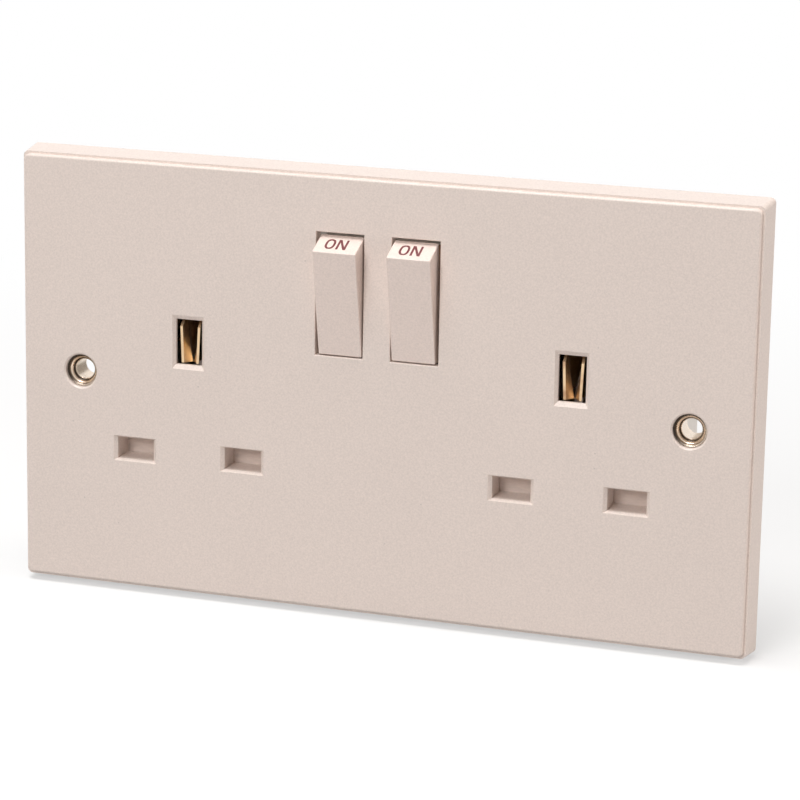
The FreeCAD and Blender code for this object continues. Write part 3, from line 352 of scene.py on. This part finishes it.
# The finish goes by the longest start of the node's name, and what isn't named is brass strip.
finishOf = {
    "faceplate": "facePlastic",
    "rear_housing": "housingPlastic",
    "housing_screws": "zincSteel",
    "screw_eyelet": "eyeletNickel",
    "rocker_plunger": "plungerPlastic",
    "rocker_spring": "springSteel",
    "rocker": "rockerPlastic",
    "moving_contact": "bladeCopper",
    "moving_tip": "silverTips",
    "fixed_tips": "silverTips",
    "shutter_spring": "springSteel",
    "shutter": "shutterPlastic",
    "live_terminal_screw": "zincSteel",
    "neutral_terminal_screw": "zincSteel",
    "earth_terminal_left_screw": "zincSteel",
    "earth_terminal_right_screw": "zincSteel",
    "live_terminal": "terminalBrass",
    "neutral_terminal": "terminalBrass",
    "earth_terminal": "terminalBrass",
}


def dress(item, material):
    item.data.materials.clear()
    item.data.materials.append(material)


for name, item in nodes.items():
    starts = [start for start in finishOf if name.startswith(start)]
    finish = finishOf[max(starts, key=len)] if starts else "stripBrass"
    dress(item, finishes[finish])
print("materials on", len(nodes), "nodes")


def meshPiece(name, points, faces, material, body):
    # A mesh of the points as they are, so that its object stays at the origin.
    mesh = bpy.data.meshes.new(name)
    mesh.from_pydata(points.tolist(), [], faces)
    mesh.update()
    item = bpy.data.objects.new(name, mesh)
    bpy.context.scene.collection.objects.link(item)
    dress(item, material)
    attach(item, body)
    return item


def gridFaces(rows, columns, closedRows, closedColumns):
    # Quads between neighbouring points of a grid, numbered row by row.
    row = np.arange(rows if closedRows else rows - 1)
    column = np.arange(columns if closedColumns else columns - 1)
    row, column = np.meshgrid(row, column, indexing="ij")
    nextRow, nextColumn = (row + 1) % rows, (column + 1) % columns
    corners = (row * columns + column, nextRow * columns + column,
               nextRow * columns + nextColumn, row * columns + nextColumn)
    return np.stack(corners, axis=-1).reshape(-1, 4).tolist()


def smooth(item):
    item.data.polygons.foreach_set("use_smooth", np.ones(len(item.data.polygons), dtype=bool))
    item.data.update()


def faceOutward(item):
    bpy.context.view_layer.objects.active = item
    bpy.ops.object.select_all(action="DESELECT")
    item.select_set(True)
    bpy.ops.object.mode_set(mode="EDIT")
    bpy.ops.mesh.select_all(action="SELECT")
    bpy.ops.mesh.normals_make_consistent(inside=False)
    bpy.ops.object.mode_set(mode="OBJECT")


# Springs of round wire, closed at both ends, in place of the plainer ones.
springSet = {
    "wire": 0.0004,
    "closed": 0.75,  # turns at the ends that lie flat
    "ease": 0.02,
    "aroundWire": 12,
    "perTurn": 28,
    "rocker": {"outer": 0.0032, "turns": 5.0, "start": -0.0044, "end": 0.0006},
    "shutter": {"outer": 0.0036, "turns": 8.0},
}


def coilPoints(outer, turns, length):
    # A round wire carried along a helix about Z. With t from 0 to 1 along the wire the centre is at
    # (r cos a, r sin a, rise * s), a = 2 pi turns t. s stays level at both ends, so that the end turns
    # close, and is eased by a sine between them. The first and last rings are points that close the wire.
    wire = springSet["wire"]
    radius = (outer - wire) / 2
    count = int(turns * springSet["perTurn"]) + 1
    t = np.linspace(0, 1, count)
    flat = springSet["closed"] / turns
    s = np.clip((t - flat * 0.5) / (1 - flat), 0, 1)
    s = s - springSet["ease"] * np.sin(2 * math.pi * s)
    angle = 2 * math.pi * turns * t
    height = wire / 2 + (length - wire) * s
    centre = np.stack([radius * np.cos(angle), radius * np.sin(angle), height], axis=1)
    outward = np.stack([np.cos(angle), np.sin(angle), np.zeros(count)], axis=1)
    along = np.gradient(centre, axis=0)
    along /= np.linalg.norm(along, axis=1, keepdims=True)
    upward = np.cross(along, outward)
    size = np.full(count, wire / 2)
    centre = np.concatenate([centre[:1], centre, centre[-1:]])
    outward = np.concatenate([outward[:1], outward, outward[-1:]])
    upward = np.concatenate([upward[:1], upward, upward[-1:]])
    size = np.concatenate([[1e-6], size, [1e-6]])
    turn = np.linspace(0, 2 * math.pi, springSet["aroundWire"], endpoint=False)
    rings = centre[:, None] + size[:, None, None] * (
        np.cos(turn)[None, :, None] * outward[:, None] + np.sin(turn)[None, :, None] * upward[:, None])
    return rings


def placed(points, origin, turn):
    # Turns rows of points with a 3 x 3 matrix, then moves them to origin.
    return points @ np.array(turn).T + np.array(origin)


def addSpring(name, node, body, rings, origin, turn):
    rows, columns = rings.shape[:2]
    points = placed(rings.reshape(-1, 3), origin, turn)
    faces = gridFaces(rows, columns, False, True)
    piece = meshPiece(name, points, faces, finishes["springSteel"], body)
    smooth(piece)
    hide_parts(node)


jointOf = {joint["name"]: joint for joint in frame["joints"]}
swing = math.radians(-jointOf["switch_left_turn"]["range_deg"][0] / 2)  # a rocker's lean when ON
alongY = Matrix.Rotation(-math.pi / 2, 3, "X")  # turns Z to Y
tilted = Matrix.Rotation(swing, 3, "X")

for side in ("left", "right"):
    pivot = np.array(jointOf[f"switch_{side}_turn"]["pos_m"])
    values = springSet["rocker"]
    rings = coilPoints(values["outer"], values["turns"], values["end"] - values["start"])
    rings[..., 2] += values["start"]
    turn = tilted @ alongY
    addSpring(f"switch_spring_{side}", f"rocker_spring_{side}", f"switch_{side}", rings, pivot, turn)
    low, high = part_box(f"shutter_spring_{side}")
    values = springSet["shutter"]
    rings = coilPoints(values["outer"], values["turns"], high[2] - low[2])
    centre = ((low[0] + high[0]) / 2, (low[1] + high[1]) / 2, low[2])
    turn = Matrix.Identity(3)
    addSpring(f"return_spring_{side}", f"shutter_spring_{side}", f"shutter_body_{side}", rings, centre, turn)
print("springs done")


# Each earth contact is two sprung leaves that close towards their lower ends, on a strap behind them.
leafSet = {
    "thickness": 0.0005,
    "front": 0.00155,  # half the gap between the leaves at their front edges, at the top and lower end
    "frontLow": 0.00125,
    "waistTop": 0.00145,  # half the gap at the waist, in the upper part and at the lower end
    "waistLow": 0.00008,
    "closing": 0.85,  # share of the height over which the waist closes
    "foot": 0.00215,  # half the gap at the strap
    "waistBack": 0.0017,  # from the front edge back to the waist
    "belly": 0.0040,  # from the waist back to where the leaves run straight
    "soft": 0.35,  # share of easing in the curve
    "cut": 0.0013,  # the upper front corner is cut off at 45 degrees
    "along": 28,
    "levels": (20, 6),  # below and beside the cut corner
}


def leafPoints(values, low, high):
    # Rows are levels and columns go back along the inner face, then forward along the outer one. At depth
    # y the half gap is front + (waist - front) * u + (foot - waist) * v, where u runs from 0 to 1
    # between the front and the waist, and v between the waist and the end of the belly, both eased.
    corner = high[2] - values["cut"]
    below, beside = values["levels"]
    level = np.concatenate([np.linspace(low[2], corner, below), np.linspace(corner, high[2], beside)[1:]])
    level = level[:, None]
    start = low[1] + np.clip(level - corner, 0, None)
    depth = start + (high[1] - start) * np.linspace(0, 1, values["along"])[None, :]
    share = np.clip((level - low[2]) / ((high[2] - low[2]) * values["closing"]), 0, 1)
    front = values["frontLow"] + (values["front"] - values["frontLow"]) * share
    waist = values["waistLow"] + (values["waistTop"] - values["waistLow"]) * share
    u = np.clip((depth - low[1]) / values["waistBack"], 0, 1)
    v = np.clip((depth - low[1] - values["waistBack"]) / values["belly"], 0, 1)
    soft = values["soft"]
    u, v = ((1 - soft) * part + soft * part * part * (3 - 2 * part) for part in (u, v))
    gap = front + (waist - front) * u + (values["foot"] - waist) * v
    across = np.concatenate([gap, (gap + values["thickness"])[:, ::-1]], axis=1)
    depth = np.concatenate([depth, depth[:, ::-1]], axis=1)
    return np.stack([across, depth, np.broadcast_to(level, depth.shape)], axis=-1)


def leafFaces(rows, along):
    # The wall of the leaf, then its lower and upper edges as quads from the inner face to the outer one.
    columns = 2 * along
    near = np.arange(along - 1)
    edge = np.stack([near, near + 1, columns - 2 - near, columns - 1 - near], axis=1)
    return gridFaces(rows, columns, False, True) + edge.tolist() + (edge + (rows - 1) * columns).tolist()


def boxPoints(low, high):
    # The eight corners of a box, lower four first.
    grid = np.array([(x, y, z) for z in (0, 1) for x, y in ((0, 0), (1, 0), (1, 1), (0, 1))])
    return np.array(low) + grid * (np.array(high) - np.array(low))


def addEarthLeaves(side, values):
    # One leaf, its mirror image and the strap that joins them.
    low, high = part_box(f"earth_pin_contact_{side}")
    middle = (low[0] + high[0]) / 2
    leaf = leafPoints(values, low, high)
    faces = leafFaces(len(leaf), values["along"])
    reach = values["foot"] + values["thickness"]
    base = boxPoints((-reach, high[1] - values["thickness"], low[2]), (reach, high[1], high[2]))
    baseFaces = [[0, 1, 2, 3], [4, 5, 6, 7]] + gridFaces(2, 4, False, True)
    pieces = [(leaf.reshape(-1, 3), faces), (leaf.reshape(-1, 3) * (-1, 1, 1), faces), (base, baseFaces)]
    points = np.concatenate([part for part, _ in pieces]) + np.array([middle, 0, 0])
    starts = np.cumsum([0] + [len(part) for part, _ in pieces])
    faces = [[index + int(start) for index in face]
             for (_, own), start in zip(pieces, starts) for face in own]
    piece = meshPiece(f"earth_leaves_{side}", points, faces, finishes["leafBrass"], "socket_body")
    faceOutward(piece)
    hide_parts(f"earth_pin_contact_{side}")


for side in ("left", "right"):
    addEarthLeaves(side, leafSet)
print("earth leaves done")


# The red mark on the top end of each rocker
markSet = {
    "front": 0.0065,  # pivot to the rocker's front
    "half": 0.0105,  # pivot to the top edge of the front
    "middle": 0.0027,  # from that edge back to the letters' middle
    "aside": -0.0003,
    "height": 0.0031,
    "width": 0.00195,
    "gap": 0.0004,
    "stroke": 0.00042,
    "proud": 0.00001,
    "thick": 0.00002,
    "corners": 48,
    "roundness": 0.8,  # 1 is an ellipse, less is squarer
    "slant": 1.25,  # width of the slanting stroke, and how far it is notched, in strokes
    "notch": 1.6,
    "colour": (0.15, 0.022, 0.028),
    "under": (0.75, 0.6, 0.55),  # the plastic that worn ink lets through
    "wear": 0.25,
}


def markMaterial():
    material, tree, shader, place = newMaterial("markRed")
    wear = addNode(tree, "ShaderNodeTexNoise", Vector=place, Scale=3800.0, Detail=3.0).outputs[0]
    ink, under, share = markSet["colour"], markSet["under"], markSet["wear"]
    faded = tuple((1 - share) * first + share * second for first, second in zip(ink, under))
    colour = mixColour(tree, ramp(tree, wear, 0.52, 0.85), (*ink, 1), (*faded, 1))
    tree.links.new(colour, shader.inputs["Base Color"])
    tree.links.new(ramp(tree, wear, 0.3, 0.8, 0.38, 0.6), shader.inputs["Roughness"])
    return material


def letterO(values):
    # A flat ring: at angle a the edge lies at (w cos a, h sin a) with both drawn out towards a square by
    # the power of the roundness, once at full size and once less the stroke, on a top and a bottom level.
    count, power = values["corners"], values["roundness"]
    angle = np.linspace(0, 2 * math.pi, count, endpoint=False)
    across = np.sign(np.cos(angle)) * np.abs(np.cos(angle)) ** power
    up = np.sign(np.sin(angle)) * np.abs(np.sin(angle)) ** power
    sizes = [(0.0, values["thick"]), (0.0, 0.0), (values["stroke"], 0.0), (values["stroke"], values["thick"])]
    rows = [np.stack([across * (values["width"] / 2 - less), up * (values["height"] / 2 - less),
                      np.full(count, level)], axis=1) for less, level in sizes]
    return np.concatenate(rows), gridFaces(len(sizes), count, True, True)


def letterN(values):
    # An outline of ten corners on two levels: two uprights and the slanting stroke between them.
    w, h, stroke = values["width"] / 2, values["height"] / 2, values["stroke"]
    slant = stroke * values["slant"]
    notch = slant * values["notch"]
    edge = np.array([(-w, -h), (-w, h), (-w + slant, h), (w - stroke, -h + notch), (w - stroke, h),
                     (w, h), (w, -h), (w - slant, -h), (-w + stroke, h - notch), (-w + stroke, -h)])
    count = len(edge)
    top = np.column_stack([edge, np.full(count, values["thick"])])
    bottom = np.column_stack([edge, np.zeros(count)])
    faces = gridFaces(2, count, False, True)
    faces += [list(range(count))[::-1], list(range(count, 2 * count))]
    return np.concatenate([top, bottom]), faces


def addMark(side, values, material):
    # The letters are drawn flat, right way up when seen from the end of the rocker.
    shift = (values["width"] + values["gap"]) / 2
    letters = []
    for (points, faces), offset in ((letterO(values), -shift), (letterN(values), shift)):
        start = np.array([offset + values["aside"], values["middle"], values["proud"]])
        letters.append((points + start, faces))
    first, second = letters
    points = np.concatenate([first[0], second[0]])
    faces = first[1] + [[index + len(first[0]) for index in face] for face in second[1]]
    # The end face leans back from the front edge by the swing's angle.
    onFace = Matrix.Rotation(swing, 3, "X")
    points = placed(points, (0, -values["front"], values["half"]), onFace)
    pivot = np.array(jointOf[f"switch_{side}_turn"]["pos_m"])
    points = placed(points, pivot, tilted)
    piece = meshPiece(f"on_mark_{side}", points, faces, material, f"switch_{side}")
    faceOutward(piece)


redPrint = markMaterial()
for side in ("left", "right"):
    addMark(side, markSet, redPrint)
print("marks done")


# A pale floor, a dim even world and three soft lamps
stageSet = {
    "floorDrop": 0.0005,  # below the plate's lowest edge
    "floorSize": 12.0,
    "nearFade": (0.10, 0.35),  # metres from the socket where the floor turns to plain white
    "nearWhite": 0.5,  # share of plain white in the floor close to the socket
    "worldLevel": 0.10,
    "floorSeen": 0.93,  # the floor as the camera sees it, and what it throws back onto the object
    "floorBounce": 0.45,
}
lamps = {
    "key": {"place": (-0.15, -0.25, 1.25), "size": 0.8, "power": 14.0, "colour": (1.0, 0.99, 0.98)},
    "front": {"place": (-0.25, -1.2, 0.66), "size": 0.6, "power": 7.9, "colour": (1.0, 0.99, 0.98)},
    "side": {"place": (1.15, 0.10, 0.30), "size": 0.8, "power": 6.0, "colour": (1.0, 0.90, 0.83)},
}


def cameraLike(tree):
    # 1 where the ray comes straight from the camera, a mirror image or glass, else 0.
    path = addNode(tree, "ShaderNodeLightPath")
    seen = mathNode(tree, "MAXIMUM", path.outputs["Is Camera Ray"], path.outputs["Is Glossy Ray"])
    return mathNode(tree, "MAXIMUM", seen, path.outputs["Is Transmission Ray"])


def addFloor(values):
    # Plain white far away, and close to the socket a mix of that and a surface that takes its shadow.
    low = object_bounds()[0][2] - values["floorDrop"]
    half = values["floorSize"] / 2
    points = np.array([(-half, -half, low), (half, -half, low), (half, half, low), (-half, half, low)])
    mesh = bpy.data.meshes.new("floor")
    mesh.from_pydata(points.tolist(), [], [(0, 1, 2, 3)])
    floor = bpy.data.objects.new("floor", mesh)
    bpy.context.scene.collection.objects.link(floor)
    material, tree, shader, place = newMaterial("floorWhite")
    shader.inputs["Roughness"].default_value = 0.9
    seen = mathNode(tree, "MULTIPLY", cameraLike(tree), values["floorSeen"] - values["floorBounce"])
    level = mathNode(tree, "ADD", seen, values["floorBounce"])
    shade = addNode(tree, "ShaderNodeCombineColor", Red=level, Green=level, Blue=level).outputs[0]
    tree.links.new(shade, shader.inputs["Base Color"])
    distance = addNode(tree, "ShaderNodeVectorMath", {"operation": "LENGTH"}, i0=place).outputs["Value"]
    far = ramp(tree, distance, *values["nearFade"], values["nearWhite"])
    plain = addNode(tree, "ShaderNodeEmission", Strength=1.0)
    mixed = addNode(tree, "ShaderNodeMixShader", Fac=mathNode(tree, "MULTIPLY", far, cameraLike(tree)))
    tree.links.new(shader.outputs[0], mixed.inputs[1])
    tree.links.new(plain.outputs[0], mixed.inputs[2])
    output = next(node for node in tree.nodes if node.type == "OUTPUT_MATERIAL")
    tree.links.new(mixed.outputs[0], output.inputs["Surface"])
    dress(floor, material)
    floor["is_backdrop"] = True


def addWorld(level):
    # White where the camera or a mirror image sees it, and dim for what it lights.
    world = bpy.data.worlds.new("studio")
    bpy.context.scene.world = world
    world.use_nodes = True
    tree = world.node_tree
    background = next(node for node in tree.nodes if node.type == "BACKGROUND")
    background.inputs["Color"].default_value = (1, 1, 1, 1)
    seen = cameraLike(tree)
    strength = mathNode(tree, "ADD", mathNode(tree, "MULTIPLY", seen, 1 - level), level)
    tree.links.new(strength, background.inputs["Strength"])


def addLamp(name, values):
    data = bpy.data.lights.new(name, "AREA")
    data.shape = "DISK"
    data.size = values["size"]
    data.energy = values["power"]
    data.color = values["colour"]
    lamp = bpy.data.objects.new(name, data)
    bpy.context.scene.collection.objects.link(lamp)
    lamp.location = values["place"]
    lamp.rotation_euler = (-Vector(values["place"])).to_track_quat("-Z", "Y").to_euler()


addFloor(stageSet)
addWorld(stageSet["worldLevel"])
for name, values in lamps.items():
    addLamp(name, values)
bpy.context.scene.view_settings.view_transform = "Standard"
print("stage done")
